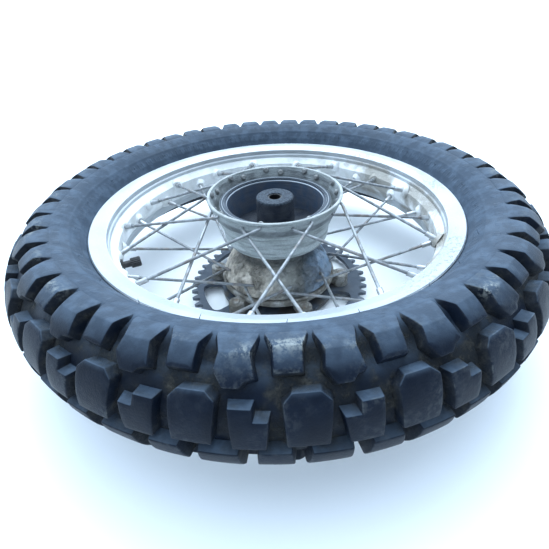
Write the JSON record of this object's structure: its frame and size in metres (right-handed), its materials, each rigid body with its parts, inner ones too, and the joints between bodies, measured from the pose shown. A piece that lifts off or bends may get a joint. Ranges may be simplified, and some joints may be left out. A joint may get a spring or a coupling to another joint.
{
  "type": "spoked motorcycle wheel",
  "caption": "Spoked rear wheel with knobbly tyre, drum-brake hub and chain sprocket, lying on its sprocket side.",
  "frame": {"origin": "on the spin axis, on the surface that the wheel lies on, at the ends of the six sprocket studs", "axes": "+Z is the spin axis and points to the brake side; the wheel's middle plane is at z = 0.106 m"},
  "size_m": [0.6454, 0.6454, 0.166],
  "materials": {
    "tyre_rubber": "worn matt tread rubber with dried dirt in the gaps",
    "rim_alloy": "satin anodised aluminium, stained in the well",
    "hub_casting": "dull sand-cast aluminium with grime, machined bright at the drum mouth",
    "drum_iron": "bright turned ring at the mouth, brown film inside",
    "spoke_steel": "dull zinc plating with dirt at the elbows",
    "nipple_plating": "bright plating, slightly dulled",
    "flange_casting": "cast aluminium under brown chain grease",
    "sprocket_steel": "dark blue-grey hardened steel, polished on the teeth",
    "fastener_steel": "dark greasy steel",
    "bearing_steel": "ground and polished",
    "cage_steel": "pressed sheet steel",
    "spacer_steel": "turned steel",
    "black_rubber": "matt black",
    "tube_rubber": "matt black butyl",
    "tape_rubber": "matt black-brown",
    "valve_metal": "dull brass",
    "valve_stem_black": "black rubber-covered thread",
    "cap_plastic": "matt black, ribbed"
  },
  "bodies": {
    "axle_core": {"bearing_inner_ring_brake": "bearing_steel", "bearing_inner_ring_middle": "bearing_steel", "bearing_inner_ring_sprocket": "bearing_steel", "hub_spacer_tube": "spacer_steel", "flange_spacer": "spacer_steel", "axle_collar": "spacer_steel"},
    "wheel": {"hub_shell": "hub_casting", "brake_drum_liner": "drum_iron", "bearing_outer_ring_brake": "bearing_steel", "bearing_outer_ring_middle": "bearing_steel", "cush_rubbers": "black_rubber", "spokes_brake_leading": "spoke_steel", "spokes_brake_trailing": "spoke_steel", "spokes_sprocket_leading": "spoke_steel", "spokes_sprocket_trailing": "spoke_steel", "nipples_brake_leading": "nipple_plating", "nipples_brake_trailing": "nipple_plating", "nipples_sprocket_leading": "nipple_plating", "nipples_sprocket_trailing": "nipple_plating", "rim": "rim_alloy", "rim_tape": "tape_rubber", "inner_tube": "tube_rubber", "tyre": "tyre_rubber", "valve_stem": "valve_stem_black", "valve_grommet": "black_rubber", "valve_core": "valve_metal"},
    "drive": {"driven_flange": "flange_casting", "sprocket": "sprocket_steel", "sprocket_studs": "fastener_steel", "sprocket_nuts": "fastener_steel", "sprocket_lock_plates": "fastener_steel", "bearing_outer_ring_sprocket": "bearing_steel", "oil_seal": "black_rubber"},
    "balls_brake": {"bearing_balls_brake": "bearing_steel", "bearing_cage_brake": "cage_steel"},
    "balls_middle": {"bearing_balls_middle": "bearing_steel", "bearing_cage_middle": "cage_steel"},
    "balls_sprocket": {"bearing_balls_sprocket": "bearing_steel", "bearing_cage_sprocket": "cage_steel"},
    "valve_cap": {"valve_cap": "cap_plastic"},
    "valve_pin": {"valve_pin": "valve_metal"}
  },
  "joints": [
    {"name": "wheel_spin", "type": "hinge", "parent": "axle_core", "child": "wheel", "pos_m": [0, 0, 0.106], "axis": [0, 0, 1], "continuous": true},
    {"name": "cush_twist", "type": "hinge", "parent": "wheel", "child": "drive", "pos_m": [0, 0, 0.03], "axis": [0, 0, 1], "range_deg": [-1.5, 1.5], "stiffness_Nm_per_rad": 150},
    {"name": "cage_spin_brake", "type": "hinge", "parent": "axle_core", "child": "balls_brake", "pos_m": [0, 0, 0.1417], "axis": [0, 0, 1], "continuous": true},
    {"name": "cage_spin_middle", "type": "hinge", "parent": "axle_core", "child": "balls_middle", "pos_m": [0, 0, 0.0715], "axis": [0, 0, 1], "continuous": true},
    {"name": "cage_spin_sprocket", "type": "hinge", "parent": "axle_core", "child": "balls_sprocket", "pos_m": [0, 0, 0.0195], "axis": [0, 0, 1], "continuous": true},
    {"name": "valve_cap_unscrew", "type": "slide", "parent": "wheel", "child": "valve_cap", "axis": [0.9478, 0.319, 0], "range_m": [0, 0.015]},
    {"name": "valve_pin_press", "type": "slide", "parent": "wheel", "child": "valve_pin", "axis": [-0.9478, -0.319, 0], "range_m": [0, 0.0015], "stiffness_N_per_m": 300}
  ],
  "couplings": [
    {"joint": "cage_spin_brake", "follows": "wheel_spin", "ratio": 0.6393},
    {"joint": "cage_spin_middle", "follows": "wheel_spin", "ratio": 0.6393},
    {"joint": "cage_spin_sprocket", "follows": "wheel_spin", "ratio": 0.6393}
  ]
}
